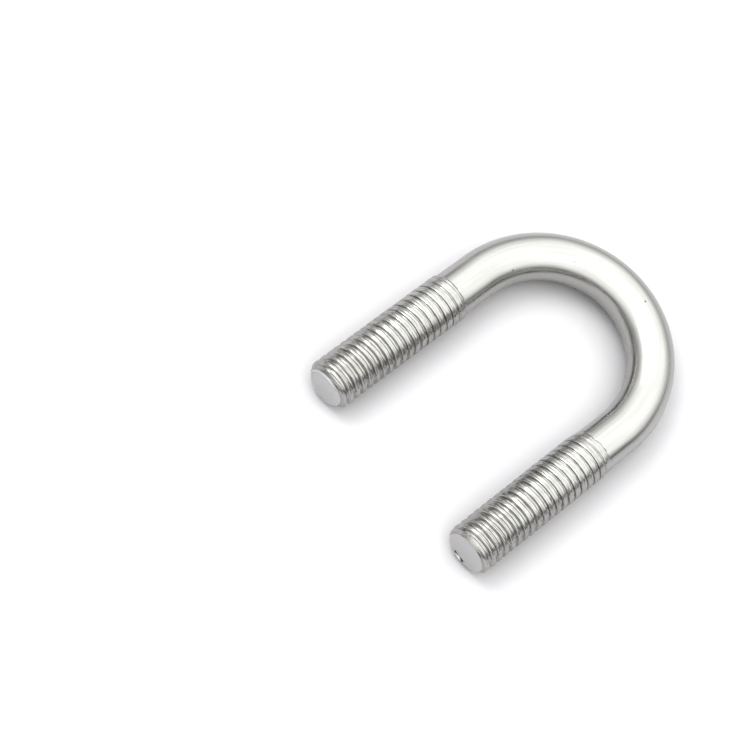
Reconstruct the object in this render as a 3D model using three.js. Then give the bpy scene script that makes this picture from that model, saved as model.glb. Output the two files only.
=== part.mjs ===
// A U-bolt: one round steel bar, bent into a U, with a right-hand M6 thread rolled on each leg.
// Millimetres. The bolt lies flat: +Z is up, the legs point along -X and the bend is at +X.
// The origin is the centre of the bottom of its bounding box.
import * as THREE from "three";
import { mergeVertices } from "three/addons/utils/BufferGeometryUtils.js";

// Driving dimensions.
const SHANK_DIAMETER = 5.55; // the plain bar, a little under the thread as on any rolled thread
const INSIDE_WIDTH = 18.3; // clear width between the plain legs
const STRAIGHT_LEG = 23.7; // from the start of the bend to the end face
const BEND_DEPTH = 12.575; // of the bar's centreline, a little more than half the width between the legs
const THREAD_PITCH = 1; // M6 coarse
const CREST_DIAMETER = 5.97;
const ROOT_DIAMETER = 4.95;
const THREAD_TURNS = 20;
const RUN_OUT_TURNS = 2; // the last turns, over which the thread fades into the plain bar
const END_FACE_DIAMETER = 4.9;
const CHAMFER_ANGLE = THREE.MathUtils.degToRad(45);

// How finely the round bar is divided. The thread's corners fall on whole parts of a turn.
const PARTS_AROUND = 24;
const PARTS_IN_BEND = 36;

// Where the thread's corners lie along one pitch, in parts of a turn from the middle of a crest.
const CREST_EDGE = 2 / PARTS_AROUND;
const ROOT_EDGE = 9 / PARTS_AROUND;
const CORNERS_IN_A_PITCH = [-CREST_EDGE, CREST_EDGE, ROOT_EDGE, 1 - ROOT_EDGE];

// Worked out from the driving dimensions.
const TURN = 2 * Math.PI;
const SHANK_RADIUS = SHANK_DIAMETER / 2;
const CREST_RADIUS = CREST_DIAMETER / 2;
const ROOT_RADIUS = ROOT_DIAMETER / 2;
const LEG_OFFSET = (INSIDE_WIDTH + SHANK_DIAMETER) / 2; // from the middle of the U to a leg's axis
const THREAD_LENGTH = THREAD_TURNS * THREAD_PITCH;
const OVERALL_LENGTH = STRAIGHT_LEG + BEND_DEPTH + SHANK_RADIUS;
const BEND_START = OVERALL_LENGTH / 2 - BEND_DEPTH - SHANK_RADIUS;

// The bend is a half-ellipse, run through clockwise from the left leg to the right leg.
const BEND = new THREE.EllipseCurve(
  BEND_START,
  0,
  BEND_DEPTH,
  LEG_OFFSET,
  Math.PI / 2,
  -Math.PI / 2,
  true,
);
BEND.arcLengthDivisions = 2000;
const BEND_LENGTH = BEND.getLength();
const BAR_LENGTH = 2 * STRAIGHT_LEG + BEND_LENGTH;

// The thread's radius at a place along one pitch, from 0 at a crest to 1 at the next crest.
function profileRadius(place) {
  const fromCrest = Math.abs(place - Math.round(place));
  const slope = (fromCrest - CREST_EDGE) / (ROOT_EDGE - CREST_EDGE);
  return THREE.MathUtils.lerp(CREST_RADIUS, ROOT_RADIUS, THREE.MathUtils.clamp(slope, 0, 1));
}

// The bar's radius in a leg, at a depth from its end face and a turn around it.
// The crest is a right-hand helix, so it goes one pitch deeper in each turn.
function legRadius(depth, turn) {
  const thread = profileRadius(depth / THREAD_PITCH - turn);
  const faded = (THREAD_LENGTH - depth) / (RUN_OUT_TURNS * THREAD_PITCH);
  const strength = THREE.MathUtils.clamp(faded, 0, 1);
  const chamfer = END_FACE_DIAMETER / 2 + depth * Math.tan(CHAMFER_ANGLE);
  return Math.min(THREE.MathUtils.lerp(SHANK_RADIUS, thread, strength), chamfer);
}

// The rows of points in one leg, as depths from the end face at turn 0. They start one turn
// outside the face, because a row follows the helix and enters the leg at some later turn.
function threadRows() {
  const rows = [];
  for (let pitches = -1; pitches <= THREAD_TURNS; pitches++) {
    for (const corner of CORNERS_IN_A_PITCH) {
      rows.push((pitches + corner) * THREAD_PITCH);
    }
  }
  return rows.filter((depth) => depth > -THREAD_PITCH && depth < THREAD_LENGTH);
}

// Every row along the bar. A threaded row is slanted; the others run straight around the bar.
function barRows() {
  const threaded = threadRows();
  const bend = Array.from({ length: PARTS_IN_BEND + 1 }, (_, part) => ({
    along: STRAIGHT_LEG + (BEND_LENGTH * part) / PARTS_IN_BEND,
  }));
  return [
    { along: 0 },
    ...threaded.map((depth) => ({ depth, leg: "left" })),
    { along: THREAD_LENGTH },
    ...bend,
    { along: BAR_LENGTH - THREAD_LENGTH },
    ...threaded.reverse().map((depth) => ({ depth, leg: "right" })),
    { along: BAR_LENGTH },
  ];
}

// How far along the bar a row is at a turn around it. A slanted row stops at the thread's ends.
function rowPlace(row, turn) {
  if (!row.leg) return row.along;
  const legTurn = row.leg === "left" ? turn : 1 - turn;
  const depth = THREE.MathUtils.clamp(row.depth + legTurn * THREAD_PITCH, 0, THREAD_LENGTH);
  return row.leg === "left" ? depth : BAR_LENGTH - depth;
}

function barRadius(along, turn) {
  if (along <= THREAD_LENGTH) return legRadius(along, turn);
  const fromRightEnd = BAR_LENGTH - along;
  if (fromRightEnd <= THREAD_LENGTH) return legRadius(fromRightEnd, -turn);
  return SHANK_RADIUS;
}

// The centreline: the left leg at +Y, the bend, then the right leg at -Y.
// The outward direction points away from the middle of the U.
function centreline(along) {
  const bent = THREE.MathUtils.clamp((along - STRAIGHT_LEG) / BEND_LENGTH, 0, 1);
  const place = BEND.getUtoTmapping(bent);
  const { x, y } = BEND.getPoint(place);
  const angle = Math.PI * (0.5 - place);
  const outward = new THREE.Vector3(LEG_OFFSET * Math.cos(angle), BEND_DEPTH * Math.sin(angle), 0);
  const beforeBend = Math.max(STRAIGHT_LEG - along, 0);
  const afterBend = Math.max(along - STRAIGHT_LEG - BEND_LENGTH, 0);
  return {
    point: new THREE.Vector3(x - beforeBend - afterBend, y, CREST_RADIUS),
    outward: outward.normalize(),
  };
}

function barPoint(along, turn, radius) {
  const { point, outward } = centreline(along);
  point.addScaledVector(outward, radius * Math.cos(turn * TURN));
  point.z += radius * Math.sin(turn * TURN);
  return point;
}

// Slanted rows are cut short at the thread's ends, which leaves triangles with no area.
function withoutEmptyTriangles(geometry) {
  const corners = Array.from(geometry.index.array);
  const kept = [];
  for (let i = 0; i < corners.length; i += 3) {
    const [a, b, c] = corners.slice(i, i + 3);
    if (a !== b && b !== c && c !== a) kept.push(a, b, c);
  }
  geometry.setIndex(kept);
  return geometry;
}

// A straight cylinder whose rows are moved to the thread's corners and then bent into the U.
function barGeometry() {
  const rows = barRows();
  const bar = new THREE.CylinderGeometry(1, 1, 1, PARTS_AROUND, rows.length - 1);
  const { position, uv } = bar.attributes;
  const sideVertices = rows.length * (PARTS_AROUND + 1);
  for (let i = 0; i < position.count; i++) {
    const row = rows[Math.round((0.5 - position.getY(i)) * (rows.length - 1))];
    const onAxis = Math.hypot(position.getX(i), position.getZ(i)) < 0.5;
    const capTurn = Math.atan2(-position.getX(i), position.getZ(i)) / TURN;
    const turn = i < sideVertices ? 1 - uv.getX(i) : capTurn;
    const along = rowPlace(row, turn);
    const moved = barPoint(along, turn, onAxis ? 0 : barRadius(along, turn));
    position.setXYZ(i, moved.x, moved.y, moved.z);
  }
  bar.deleteAttribute("normal");
  bar.deleteAttribute("uv");
  const closed = withoutEmptyTriangles(mergeVertices(bar, 1e-4));
  closed.computeVertexNormals();
  return closed;
}

const satinSteel = new THREE.MeshStandardMaterial({
  color: 0xc4c4c1,
  roughness: 0.28,
  metalness: 1,
});

const bolt = new THREE.Mesh(barGeometry(), satinSteel);
bolt.name = "u_bolt";

const group = new THREE.Group();
group.add(bolt);

export default group;
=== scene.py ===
"""A U-bolt: one round steel bar, bent into a U, with a rolled thread on each leg.

Metres, in the CAD frame: the bolt lies flat, its legs point along -X and its bend is at +X.
A place on the bar is given by how far along the bar it is, from the left leg's end face round the
bend to the right leg's, and by the turn around it, measured from the U's outer side towards +Z.
"""

import math

import bmesh
import bpy
import numpy as np
from mathutils import Matrix, Vector, noise


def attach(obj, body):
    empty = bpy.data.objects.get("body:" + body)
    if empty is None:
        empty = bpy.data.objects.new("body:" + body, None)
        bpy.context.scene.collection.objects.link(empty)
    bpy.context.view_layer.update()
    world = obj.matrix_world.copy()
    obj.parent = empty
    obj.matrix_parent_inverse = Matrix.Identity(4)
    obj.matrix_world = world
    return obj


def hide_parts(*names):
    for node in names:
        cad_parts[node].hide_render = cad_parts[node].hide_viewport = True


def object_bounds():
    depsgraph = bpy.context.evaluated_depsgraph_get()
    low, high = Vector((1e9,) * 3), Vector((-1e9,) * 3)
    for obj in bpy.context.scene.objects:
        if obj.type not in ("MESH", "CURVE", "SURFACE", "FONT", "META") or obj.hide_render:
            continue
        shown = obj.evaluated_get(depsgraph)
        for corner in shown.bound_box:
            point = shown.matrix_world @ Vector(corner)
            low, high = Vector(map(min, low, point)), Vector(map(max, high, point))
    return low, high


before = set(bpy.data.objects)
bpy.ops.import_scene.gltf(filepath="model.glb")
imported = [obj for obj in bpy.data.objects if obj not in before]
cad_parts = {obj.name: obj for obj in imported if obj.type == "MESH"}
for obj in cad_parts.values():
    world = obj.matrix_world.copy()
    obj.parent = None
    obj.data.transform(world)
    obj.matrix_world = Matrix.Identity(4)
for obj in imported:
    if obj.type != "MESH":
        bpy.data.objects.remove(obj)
cad_low, cad_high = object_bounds()

# ------------------------------------------------------------------------------ sizes
MM = 0.001
SHANK_RADIUS = 2.775 * MM
STRAIGHT_LEG = 23.7 * MM
THREAD_PITCH = 1.0 * MM
THREAD_TURNS = 20

# Worked out from the frame's box.
CREST_RADIUS = (cad_high.z - cad_low.z) / 2
LEG_OFFSET = (cad_high.y - cad_low.y) / 2 - CREST_RADIUS  # from the middle of the U to a leg's axis
BEND_DEPTH = (cad_high.x - cad_low.x) - STRAIGHT_LEG - SHANK_RADIUS
BEND_START = Vector((cad_low.x + STRAIGHT_LEG, 0, (cad_low.z + cad_high.z) / 2))
THREAD_LENGTH = THREAD_TURNS * THREAD_PITCH

# ------------------------------------------------------------------------------ the mesh
COLUMNS = 96
PLAIN_ROW_SPACING = 0.4 * MM
FACE_RINGS = 10
# Where the thread's rows lie, as parts of the crest's width and of the groove's.
CREST_ROWS = (0, 0.1, 0.2, 0.36, 0.41, 0.46, 0.57, 0.69, 0.8, 0.9)
GROOVE_ROWS = (0, 0.08, 0.15, 0.22, 0.3, 0.41, 0.52, 0.63, 0.74, 0.81, 0.87, 0.94)
SAME_POINT = 0.0001 * MM  # points nearer than this become one
SHARP_ANGLE = math.radians(38)

# ------------------------------------------------------------------------------ the rolled thread
# The rolls bite less near the bend, so the crests are wider there and the grooves shallower.
WIDENING = (5 * MM, 15 * MM)  # depths from the end face between which that happens
CREST_WIDTH = (0.42, 0.76)  # in pitches, before and after the widening
GROOVE_DEPTH = (0.24 * MM, 0.15 * MM)
GROOVE_ROUNDING = 0.8  # 0 for straight flanks, 1 for a wave
GROOVE_BOTTOM = (0.3, 0.74)  # where it starts and ends, as parts of the groove's width
CREST_ROUNDING = (0.08 * MM, 0.03 * MM)  # of the crest's edges
ROUNDED = 0.2  # of the crest's width, at each edge
SEAM_DEPTH = 0.1 * MM  # in the middle of the crest, where the metal folded over
SEAM = (0.36, 0.46, 0.8)  # where it starts, is deepest and ends, as parts of the crest's width
SEAM_FADES = (6 * MM, 14 * MM)
SEAM_FADES_BY = 0.85
FADING_GROOVE = 2 * MM  # the last stretch of the thread, with a few finer lines
RIPPLE_DEPTH = 0.035 * MM
RIPPLES_IN_A_PITCH = 4

# The turn at which the crest's middle leaves each leg's end face, where the thread ends, how long its
# last crest takes to come down to the plain bar, the end face's radius and unevenness, and a seed.
LEFT_LEG = {
    "start": 0.08,
    "end": 19.15 * MM,
    "step": 0.3 * MM,
    "face_radius": 2.2 * MM,
    "unevenness": 0.08 * MM,
    "seed": 10,
}
RIGHT_LEG = {
    "start": 0.62,
    "end": 19.9 * MM,
    "step": 2.2 * MM,
    "face_radius": 2.5 * MM,
    "unevenness": 0.012 * MM,
    "seed": 20,
}

# ------------------------------------------------------------------------------ the marks of making it
# A grain is the size of a noise along the bar and around it. Each noise adds its own seed to the leg's.
WOBBLE = 0.04 * MM  # of the thread along the bar
WOBBLE_AT_TIP = 0.09 * MM
WOBBLE_SETTLES = (1 * MM, 4 * MM)  # depths between which the one turns into the other
WOBBLE_STARTS = 0.5 * MM  # from nothing at the end face
WOBBLE_GRAIN = (0.7 * MM, 2.5 * MM)
WOBBLE_SEED = 50
BURR = 0.055 * MM  # of the thread's surface
BURR_GRAIN = (0.15 * MM, 0.5 * MM)
FACE_GRAIN = (1 * MM, 0.9 * MM)
FACE_SEED = 90
WAVINESS = 0.012 * MM  # of the plain bar
WAVES_START = 2 * MM  # from nothing at the thread's end
WAVE_GRAIN = (4 * MM, 1.6 * MM)
WAVE_SEED = 70
NICK_DEPTH = 0.4 * MM  # in the rim of the right leg's end face
NICK_TURN = 0.72
NICK_HALF_TURN = 0.065
NICK_RADIUS = 2.15 * MM
NICK_HALF_WIDTH = 0.28 * MM
NICK_REACH = 0.3 * MM  # rows that lie deeper than this from the face stay in place


def ramp(value, low, high):
    """0 below low, 1 above high and straight in between."""
    return np.clip((value - low) / (high - low), 0, 1)


def blend(ends, part):
    """From the first of two numbers to the second."""
    return ends[0] + (ends[1] - ends[0]) * part


def bend_table(steps=720):
    """Angles round the half-ellipse of the bend, and how far along the bend each one is."""
    angles = np.linspace(0, np.pi, steps + 1)
    x = BEND_DEPTH * np.sin(angles)
    y = LEG_OFFSET * np.cos(angles)
    lengths = np.hypot(np.diff(x), np.diff(y))
    return angles, np.concatenate([[0], np.cumsum(lengths)])


BEND_ANGLES, BEND_PLACES = bend_table()
BEND_LENGTH = BEND_PLACES[-1]
BAR_LENGTH = 2 * STRAIGHT_LEG + BEND_LENGTH


def centreline(along):
    """Points on the bar's axis and the directions out of the U there."""
    angle = np.interp(along - STRAIGHT_LEG, BEND_PLACES, BEND_ANGLES)
    outside = np.maximum(STRAIGHT_LEG - along, 0) + np.maximum(along - BAR_LENGTH + STRAIGHT_LEG, 0)
    x = BEND_START.x + BEND_DEPTH * np.sin(angle) - outside
    y = LEG_OFFSET * np.cos(angle)
    points = np.stack([x, y, np.full_like(x, BEND_START.z)], -1)
    outward = np.stack([LEG_OFFSET * np.sin(angle), BEND_DEPTH * np.cos(angle), np.zeros_like(x)], -1)
    return points, outward / np.linalg.norm(outward, axis=-1, keepdims=True)


def smooth_noise(along, turn, radius, grain, seed):
    """Noise between about -1 and 1 on the bar's surface."""
    angle = 2 * np.pi * turn
    forward, sideways, upward = np.broadcast_arrays(
        along / grain[0] + seed,
        radius / grain[1] * np.cos(angle),
        radius / grain[1] * np.sin(angle),
    )
    places = zip(forward.ravel(), sideways.ravel(), upward.ravel())
    return np.array([noise.noise(Vector(place)) for place in places]).reshape(forward.shape)


# ------------------------------------------------------------------------------ the legs
def crest_profile(across, depth):
    """How far the crest lies under its highest line. across goes from 0 to 1 over its width."""
    from_edge = min(across, 1 - across)
    rounding = blend(CREST_ROUNDING, ramp(depth, *WIDENING)) * (1 - ramp(from_edge, 0, ROUNDED)) ** 2
    seam = SEAM_DEPTH * np.interp(across, SEAM, (0, 1, 0))
    return rounding + seam * (1 - SEAM_FADES_BY * ramp(depth, *SEAM_FADES))


def groove_profile(across, depth):
    """How far the groove lies under the crest's highest line. across goes from 0 to 1 over its width."""
    flank = np.interp(across, (0, *GROOVE_BOTTOM, 1), (0, 1, 1, 0))
    wave = (1 - np.cos(np.pi * flank)) / 2
    lowered = GROOVE_ROUNDING * wave + (1 - GROOVE_ROUNDING) * flank
    widened = ramp(depth, *WIDENING)
    return blend(CREST_ROUNDING, widened) + blend(GROOVE_DEPTH, widened) * lowered


def thread_rows(turn, start):
    """Depths of the thread's rows from the end face, and how far they lie under the crest's highest line.

    The crest is a right-hand helix, which goes one pitch deeper in each turn, and so do the rows.
    """
    depths, lowered = [], []
    for pitch in range(-3, THREAD_TURNS + 1):
        middle = pitch + start + turn
        width = blend(CREST_WIDTH, ramp(middle * THREAD_PITCH, *WIDENING))
        begins = middle - width / 2
        for across in CREST_ROWS:
            depth = (begins + width * across) * THREAD_PITCH
            depths.append(depth)
            lowered.append(crest_profile(across, depth))
        for across in GROOVE_ROWS:
            depth = (begins + width + (1 - width) * across) * THREAD_PITCH
            depths.append(depth)
            lowered.append(groove_profile(across, depth))
    depths, lowered = np.array(depths), np.array(lowered)
    # The rows of the last pitch outside the end face all come in to its rim, so the rim goes all round.
    kept = (depths.max(1) > -THREAD_PITCH) & (depths.min(1) < THREAD_LENGTH)
    return np.clip(depths[kept], 0, THREAD_LENGTH), lowered[kept]


def thread_radius(depth, turn, lowered, leg):
    """Radii of the thread's rows. The thread is chamfered at the end face and fades at its other end."""
    end = leg["end"]
    left = ramp(end - depth, 0, FADING_GROOVE)
    place = depth / THREAD_PITCH - turn - leg["start"]
    ripple = RIPPLE_DEPTH * (1 - np.cos(2 * np.pi * RIPPLES_IN_A_PITCH * place)) / 2 * np.sin(np.pi * left)
    burr = BURR * (1 + smooth_noise(depth, turn, CREST_RADIUS, BURR_GRAIN, leg["seed"])) / 2
    step = (CREST_RADIUS - SHANK_RADIUS) * ramp(depth, end - leg["step"], end) ** 2
    threaded = CREST_RADIUS - lowered * left**0.5 - ripple - burr - step
    radius = np.minimum(threaded, leg["face_radius"] + depth)
    return np.where(depth >= end, SHANK_RADIUS, radius)


def wobbled(depth, turn, seed):
    """The depths of the thread's rows, moved a little along the bar, but not at the thread's ends."""
    wobble = smooth_noise(depth, turn, CREST_RADIUS, WOBBLE_GRAIN, seed + WOBBLE_SEED)
    free = ramp(depth, 0, WOBBLE_STARTS) * ramp(THREAD_LENGTH - depth, 0, THREAD_PITCH)
    return depth + blend((WOBBLE_AT_TIP, WOBBLE), ramp(depth, *WOBBLE_SETTLES)) * wobble * free


def face_rows(turn, leg):
    """Depths and radii of the rings of an end face, from its middle to just inside its rim."""
    rings = np.linspace(0, 1, FACE_RINGS, endpoint=False)[:, None] ** 0.5 * np.ones_like(turn)
    radius = rings * leg["face_radius"]
    bumps = smooth_noise(0, turn, radius, FACE_GRAIN, leg["seed"] + FACE_SEED)
    return leg["unevenness"] * (1 + bumps), radius


def leg_rows(turn, leg):
    """Depths and radii of the rows of one leg, from the middle of its end face to the thread's end."""
    face_depth, face_radius = face_rows(turn, leg)
    depth, lowered = thread_rows(turn, leg["start"])
    radius = thread_radius(depth, turn, lowered, leg)
    depth = wobbled(depth, turn, leg["seed"])
    return np.concatenate([face_depth, depth]), np.concatenate([face_radius, radius])


def nick(turn, radius):
    """How deep the nick in the right leg's rim is."""
    sideways = (turn - NICK_TURN) / NICK_HALF_TURN
    inwards = (radius - NICK_RADIUS) / NICK_HALF_WIDTH
    return NICK_DEPTH * np.clip(1 - sideways**2 - inwards**2, 0, 1)


# ------------------------------------------------------------------------------ the bar
def plain_rows(turn):
    """Places along the bar and radii of the rows between the two threads."""
    length = BAR_LENGTH - 2 * THREAD_LENGTH
    rows = int(length / PLAIN_ROW_SPACING) + 1
    along = THREAD_LENGTH + length * np.linspace(0, 1, rows)[:, None] * np.ones_like(turn)
    waves = smooth_noise(along, turn, SHANK_RADIUS, WAVE_GRAIN, WAVE_SEED)
    from_thread = np.minimum(along - THREAD_LENGTH, BAR_LENGTH - THREAD_LENGTH - along)
    return along, SHANK_RADIUS - WAVINESS * (1 + waves) * ramp(from_thread, 0, WAVES_START)


def bar_grid():
    """Along, turn and radius of every point of the bar, in rows along it and columns around it."""
    turn = np.linspace(0, 1, COLUMNS + 1)
    left_depth, left_radius = leg_rows(turn, LEFT_LEG)
    right_depth, right_radius = leg_rows(1 - turn, RIGHT_LEG)
    right_depth = right_depth + nick(turn, right_radius) * (right_depth < NICK_REACH)
    plain_along, plain_radius = plain_rows(turn)
    along = np.concatenate([left_depth, plain_along, BAR_LENGTH - right_depth[::-1]])
    radius = np.concatenate([left_radius, plain_radius, right_radius[::-1]])
    return along, np.broadcast_to(turn, along.shape), radius


def bar_mesh():
    """The bar's surface. Its attribute bar_place is each point's place with the bar straightened out."""
    along, turn, radius = bar_grid()
    points, outward = centreline(along)
    angle = 2 * np.pi * turn
    across = radius * np.cos(angle)
    upward = radius * np.sin(angle)
    points = points + outward * across[..., None]
    points[..., 2] += upward
    rows, columns = along.shape
    corner = np.arange(rows * columns).reshape(rows, columns)
    faces = np.stack([corner[:-1, :-1], corner[:-1, 1:], corner[1:, 1:], corner[1:, :-1]], -1)
    mesh = bpy.data.meshes.new("u_bolt_steel")
    mesh.from_pydata(points.reshape(-1, 3).tolist(), [], faces.reshape(-1, 4).tolist())
    place = mesh.attributes.new("bar_place", "FLOAT_VECTOR", "POINT")
    straightened = np.stack([along, across, upward], -1)
    place.data.foreach_set("vector", straightened.astype(np.float32).ravel())
    merged = bmesh.new()
    merged.from_mesh(mesh)
    bmesh.ops.remove_doubles(merged, verts=merged.verts, dist=SAME_POINT)
    bmesh.ops.recalc_face_normals(merged, faces=merged.faces)
    for face in merged.faces:
        face.smooth = True
    merged.to_mesh(mesh)
    merged.free()
    mesh.set_sharp_from_angle(angle=SHARP_ANGLE)
    return mesh


# ------------------------------------------------------------------------------ the steel's looks
STEEL = ((0.48, 0.48, 0.468, 1), (0.525, 0.523, 0.514, 1))  # of the dullest and the brightest soft lines
# Painted shade: a darker steel colour in the thread's grooves, darkest where they lie deepest under the
# plain bar's surface.
PAINTED_GROOVE_SHADE = (0.44, 0.435, 0.42, 1)
GROOVE_SHADE_DEPTH = 0.3 * MM  # under the plain bar's surface, where the painted shade in the grooves is darkest
DARK_LINES = (0.32, 0.315, 0.3, 1)
DARKEST_LINE = 0.45  # how much of that colour the darkest rolled line has
CUT_FACE = (0.61, 0.61, 0.61, 1)
# Near-black: dark spots on the plain bar, and painted shade in the nick's wall.
SPOTS_AND_NICK_SHADE_COLOUR = (0.1, 0.1, 0.1, 1)
ROUGHNESS = (0.17, 0.25)  # of the smoothest and the roughest patches
FINE_LINES_ROUGHEN = 0.07
FACE_ROUGHENS = 0.25
DRAWN_BUMP = {"Strength": 0.35, "Distance": 0.012 * MM}
ROLLED_BUMP = {"Strength": 0.6, "Distance": 0.038 * MM}
# Where the looks of an end face and of the rolled thread start and are whole: distances from the end of
# the bar, and from its axis.
FACE_ENDS = (0.2 * MM, 0.16 * MM)
FACE_RIM = (2.52 * MM, 2.5 * MM)
ROLLED_ENDS = (19.9 * MM, 18.5 * MM)
FINE_LINE_GRAIN = (2.5 * MM, 0.09 * MM)
SOFT_LINE_GRAIN = (9 * MM, 0.45 * MM)
PATCH_GRAIN = (3 * MM, 2 * MM)
ROLLED_RING = 1.5  # the radius of the ring of noise that one pitch goes round
ROLLED_LINE_LENGTH = 1.5 * MM
NICK_WALL = BAR_LENGTH - 0.13 * MM
# Dark spots on the plain bar, and near-black painted shade in the nick's wall: how far along the bar each
# is, its turn, its distance from the bar's axis and its size.
SPOTS_AND_NICK_SHADE_PLACES = (
    (45.4 * MM, 0.236, SHANK_RADIUS, 0.12 * MM),
    (27.0 * MM, 0.372, SHANK_RADIUS, 0.12 * MM),
    (38.4 * MM, 0.247, SHANK_RADIUS, 0.06 * MM),
    (35.6 * MM, 0.328, SHANK_RADIUS, 0.07 * MM),
    (NICK_WALL, 0.679, 2.22 * MM, 0.24 * MM),
    (NICK_WALL, 0.692, 2.2 * MM, 0.2 * MM),
    (NICK_WALL, 0.706, 2.2 * MM, 0.2 * MM),
    (NICK_WALL, 0.72, 2.2 * MM, 0.19 * MM),
    (NICK_WALL, 0.734, 2.2 * MM, 0.2 * MM),
    (NICK_WALL, 0.748, 2.22 * MM, 0.22 * MM),
    (NICK_WALL, 0.762, 2.25 * MM, 0.24 * MM),
)


class Nodes:
    """Short ways to add shader nodes to one material."""

    def __init__(self, name):
        self.material = bpy.data.materials.new(name)
        self.material.use_nodes = True
        self.tree = self.material.node_tree
        self.shader = self.tree.nodes["Principled BSDF"]

    def add(self, kind, inputs=(), **settings):
        node = self.tree.nodes.new("ShaderNode" + kind)
        for name, value in settings.items():
            setattr(node, name, value)
        for socket, value in dict(inputs).items():
            self.put(value, node.inputs[socket])
        return node

    def put(self, value, socket):
        if isinstance(value, bpy.types.NodeSocket):
            self.tree.links.new(value, socket)
        else:
            socket.default_value = value

    def maths(self, operation, first, second=0.0):
        return self.add("Math", {0: first, 1: second}, operation=operation).outputs[0]

    def stretch(self, vector, scale):
        """A vector with each of its numbers multiplied by the scale's."""
        return self.add("VectorMath", {0: vector, 1: scale}, operation="MULTIPLY").outputs[0]

    def noise(self, vector, grain, detail=2.0):
        """Noise from 0 to 1, with grains of this length along the bar and width across it."""
        place = self.stretch(vector, (1 / grain[0], 1 / grain[1], 1 / grain[1]))
        texture = self.add("TexNoise", {"Vector": place, "Scale": 1.0, "Detail": detail})
        return texture.outputs["Fac"]

    def remap(self, value, low, high, to_low=0.0, to_high=1.0):
        inputs = {"Value": value, 1: low, 2: high, 3: to_low, 4: to_high}
        return self.add("MapRange", inputs).outputs[0]

    def mix_colour(self, part, first, second):
        node = self.add("Mix", data_type="RGBA")
        for value, index in ((part, 0), (first, 6), (second, 7)):
            self.put(value, node.inputs[index])
        return node.outputs[2]


def rolled_line_noise(n, place, end_distance):
    """Noise in lines that follow the helix of each leg's thread, as the rolls leave them."""
    along, across, upward = n.add("SeparateXYZ", {0: place}).outputs
    turn = n.maths("DIVIDE", n.maths("ARCTAN2", upward, across), 2 * math.pi)
    side = n.maths("SIGN", n.maths("SUBTRACT", BAR_LENGTH / 2, along))
    depth = n.maths("DIVIDE", end_distance, THREAD_PITCH)
    pitches = n.maths("SUBTRACT", depth, n.maths("MULTIPLY", side, turn))
    angle = n.maths("MULTIPLY", pitches, 2 * math.pi)
    # One pitch along the bar is once round a ring in the noise, so the lines meet all the way round.
    ring = n.add("CombineXYZ", {0: n.maths("COSINE", angle), 1: n.maths("SINE", angle), 2: 0.0}).outputs[0]
    drift = n.stretch(place, (1 / ROLLED_LINE_LENGTH,) * 3)
    moved = n.add("VectorMath", {0: ring, 1: (ROLLED_RING,) * 3, 2: drift}, operation="MULTIPLY_ADD")
    return n.noise(moved.outputs[0], (1, 1), 1.0)


def paint_spots_and_nick_shade(n, place):
    """1 in the middle of each dark spot and each patch of painted shade in the nick, and 0 outside them.
    """
    marks = 0.0
    for along, turn, from_axis, size in SPOTS_AND_NICK_SHADE_PLACES:
        angle = 2 * math.pi * turn
        middle = (along, from_axis * math.cos(angle), from_axis * math.sin(angle))
        distance = n.add("VectorMath", {0: place, 1: middle}, operation="DISTANCE").outputs["Value"]
        marks = n.maths("MAXIMUM", marks, n.remap(distance, size, size / 2))
    return marks


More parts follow.
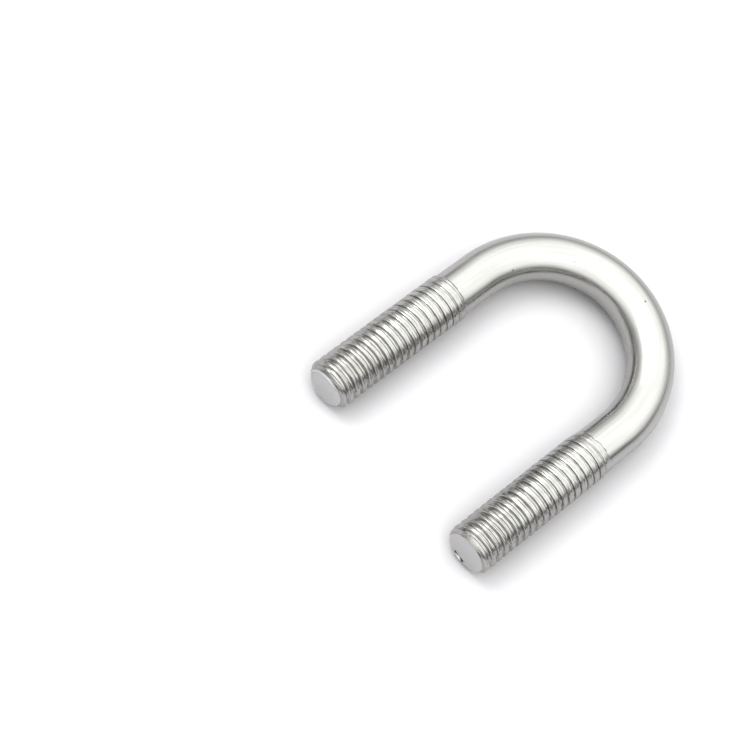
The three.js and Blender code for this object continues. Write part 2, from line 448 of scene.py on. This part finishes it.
def satin_steel():
    """Drawn bar, bright and satin, with fine lines along it. The thread has lines left by the rolls, and
    painted shade in its grooves. The end faces are paler and duller."""
    n = Nodes("satin_steel")
    place = n.add("Attribute", attribute_name="bar_place").outputs["Vector"]
    along, across, upward = n.add("SeparateXYZ", {0: place}).outputs
    squares = n.maths("ADD", n.maths("MULTIPLY", across, across), n.maths("MULTIPLY", upward, upward))
    radius = n.maths("SQRT", squares)
    end_distance = n.maths("MINIMUM", along, n.maths("SUBTRACT", BAR_LENGTH, along))
    on_face = n.maths("MULTIPLY", n.remap(end_distance, *FACE_ENDS), n.remap(radius, *FACE_RIM))
    off_face = n.maths("SUBTRACT", 1.0, on_face)
    threaded = n.maths("MULTIPLY", n.remap(end_distance, *ROLLED_ENDS), off_face)

    fine_lines = n.noise(place, FINE_LINE_GRAIN)
    soft_lines = n.noise(place, SOFT_LINE_GRAIN, 1.0)
    patches = n.noise(place, PATCH_GRAIN, 1.0)
    rolled_lines = rolled_line_noise(n, place, end_distance)
    dark_lines = n.maths("MULTIPLY", n.remap(rolled_lines, 0.6, 0.3, 0.0, DARKEST_LINE), threaded)
    rolled_lines = n.maths("MULTIPLY", rolled_lines, threaded)
    # Painted shade in the thread's grooves, darker the deeper they lie.
    groove_shade = n.maths("MULTIPLY", n.remap(radius, SHANK_RADIUS, SHANK_RADIUS - GROOVE_SHADE_DEPTH), threaded)

    steel = n.mix_colour(n.remap(soft_lines, 0.3, 0.7), *STEEL)
    steel = n.mix_colour(groove_shade, steel, PAINTED_GROOVE_SHADE)
    steel = n.mix_colour(dark_lines, steel, DARK_LINES)
    steel = n.mix_colour(on_face, steel, CUT_FACE)
    # Near-black dark spots on the plain bar, and painted shade in the nick's wall.
    steel = n.mix_colour(paint_spots_and_nick_shade(n, place), steel, SPOTS_AND_NICK_SHADE_COLOUR)
    n.put(steel, n.shader.inputs["Base Color"])
    n.shader.inputs["Metallic"].default_value = 1.0

    roughness = n.remap(patches, 0.3, 0.7, *ROUGHNESS)
    roughness = n.maths("ADD", roughness, n.remap(fine_lines, 0.35, 0.75, 0.0, FINE_LINES_ROUGHEN))
    roughness = n.maths("ADD", roughness, n.maths("MULTIPLY", on_face, FACE_ROUGHENS))
    n.put(roughness, n.shader.inputs["Roughness"])

    drawn = n.add("Bump", {**DRAWN_BUMP, "Height": fine_lines}).outputs[0]
    rolled = n.add("Bump", {**ROLLED_BUMP, "Height": rolled_lines, "Normal": drawn}).outputs[0]
    n.put(rolled, n.shader.inputs["Normal"])
    return n.material


# ------------------------------------------------------------------------------ the floor
FLOOR_HALF = 2.0
FLOOR_GAP = 0.02 * MM  # under the lowest crests


def pale_floor():
    n = Nodes("pale_floor")
    n.shader.inputs["Base Color"].default_value = (0.585, 0.58, 0.59, 1)
    n.shader.inputs["Roughness"].default_value = 0.9
    n.shader.inputs["Specular IOR Level"].default_value = 0.2
    return n.material


def make_floor():
    mesh = bpy.data.meshes.new("floor")
    signs = ((-1, -1), (1, -1), (1, 1), (-1, 1))
    mesh.from_pydata([(x * FLOOR_HALF, y * FLOOR_HALF, 0) for x, y in signs], [], [(0, 1, 2, 3)])
    floor = bpy.data.objects.new("floor", mesh)
    floor.location.z = cad_low.z - FLOOR_GAP
    bpy.context.scene.collection.objects.link(floor)
    floor.data.materials.append(pale_floor())


# ------------------------------------------------------------------------------ the light
# The sky's brightness at heights from 0, the horizon, to 1, overhead. Right is -Y, left is +Y and the
# back is +X, behind the bend.
SKY_RIGHT = ((0.0, 0.06), (0.1, 0.07), (0.3, 0.65), (0.5, 0.92), (0.8, 1.0))
SKY_LEFT = ((0.0, 0.25), (0.1, 0.3), (0.3, 0.55), (0.6, 0.85), (0.85, 1.0))
SKY_BACK = ((0.0, 0.42), (0.1, 0.42), (0.3, 0.57), (0.5, 0.85), (0.8, 1.0))
SKY_BLUE = 0.995  # of the red and green
SKY_STRENGTH = 2.05
KEY_POWER = 0.5
KEY_SIZE = 0.22
KEY_DISTANCE = 0.4
KEY_AZIMUTH = 105
KEY_ELEVATION = 55


class Sky:
    """Short ways to add nodes to the world that depend on the direction looked in."""

    def __init__(self, name):
        world = bpy.data.worlds.new(name)
        world.use_nodes = True
        bpy.context.scene.world = world
        self.tree = world.node_tree
        self.split = self.tree.nodes.new("ShaderNodeSeparateXYZ")
        direction = self.tree.nodes.new("ShaderNodeTexCoord")
        self.tree.links.new(direction.outputs["Generated"], self.split.inputs[0])

    def height_ramp(self, steps):
        """Brightness by height. The ramp also keeps its own first step, which is black, at the horizon."""
        node = self.tree.nodes.new("ShaderNodeValToRGB")
        self.tree.links.new(self.split.outputs["Z"], node.inputs["Fac"])
        node.color_ramp.interpolation = "B_SPLINE"
        node.color_ramp.elements.remove(node.color_ramp.elements[1])
        for height, brightness in steps:
            element = node.color_ramp.elements.new(height)
            element.color = (brightness, brightness, brightness * SKY_BLUE, 1)
        return node.outputs["Color"]

    def blend_by(self, axis, low, high, first, second):
        """first where the direction's axis is under low, second where it is over high."""
        part = self.tree.nodes.new("ShaderNodeMapRange")
        self.tree.links.new(self.split.outputs[axis], part.inputs["Value"])
        part.inputs["From Min"].default_value = low
        part.inputs["From Max"].default_value = high
        mix = self.tree.nodes.new("ShaderNodeMix")
        mix.data_type = "RGBA"
        for source, socket in ((part.outputs[0], 0), (first, 6), (second, 7)):
            self.tree.links.new(source, mix.inputs[socket])
        return mix.outputs[2]


def make_sky():
    """Soft studio light from all round: bright above and dim near the horizon, most so on the right."""
    sky = Sky("studio")
    sides = sky.blend_by("Y", -0.3, 0.8, sky.height_ramp(SKY_RIGHT), sky.height_ramp(SKY_LEFT))
    whole = sky.blend_by("X", 0.5, 0.9, sides, sky.height_ramp(SKY_BACK))
    background = sky.tree.nodes["Background"]
    sky.tree.links.new(whole, background.inputs["Color"])
    background.inputs["Strength"].default_value = SKY_STRENGTH


def looking_at(target, azimuth, elevation, distance, roll=0.0):
    """The place and rotation of something that looks at the target from this azimuth and elevation."""
    azimuth, elevation = math.radians(azimuth), math.radians(elevation)
    away = Vector((
        math.cos(azimuth) * math.cos(elevation),
        math.sin(azimuth) * math.cos(elevation),
        math.sin(elevation),
    ))
    level = away.to_track_quat("Z", "Y").to_matrix().to_4x4()
    rolled = Matrix.Rotation(math.radians(roll), 4, "Z")
    return Matrix.Translation(Vector(target) + away * distance) @ level @ rolled


def make_key_light():
    """A softbox over the left leg's side, which gives the shadows their direction."""
    data = bpy.data.lights.new("softbox", "AREA")
    data.size = KEY_SIZE
    data.energy = KEY_POWER
    light = bpy.data.objects.new("softbox", data)
    light.matrix_world = looking_at((0, 0, 0), KEY_AZIMUTH, KEY_ELEVATION, KEY_DISTANCE)
    bpy.context.scene.collection.objects.link(light)


# ------------------------------------------------------------------------------ the camera
CAMERA_AIM = (-0.013772, 0.009763, 0.002985)
CAMERA_AZIMUTH = -159.03
CAMERA_ELEVATION = 63.09
CAMERA_ROLL = 30.24
CAMERA_DISTANCE = 0.29408
CAMERA_LENS = 127.63
CAMERA_SENSOR = 36


def make_camera():
    data = bpy.data.cameras.new("camera")
    data.lens = CAMERA_LENS
    data.sensor_width = CAMERA_SENSOR
    camera = bpy.data.objects.new("camera", data)
    camera.matrix_world = looking_at(
        CAMERA_AIM, CAMERA_AZIMUTH, CAMERA_ELEVATION, CAMERA_DISTANCE, CAMERA_ROLL
    )
    bpy.context.scene.collection.objects.link(camera)
    bpy.context.scene.camera = camera


# ------------------------------------------------------------------------------ the scene
bolt = bpy.data.objects.new("u_bolt_steel", bar_mesh())
bpy.context.scene.collection.objects.link(bolt)
bolt.data.materials.append(satin_steel())
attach(bolt, "root")
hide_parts("u_bolt")

make_floor()
make_sky()
make_key_light()
make_camera()
bpy.context.scene.view_settings.view_transform = "Standard"
bpy.context.scene.view_settings.gamma = 0.67
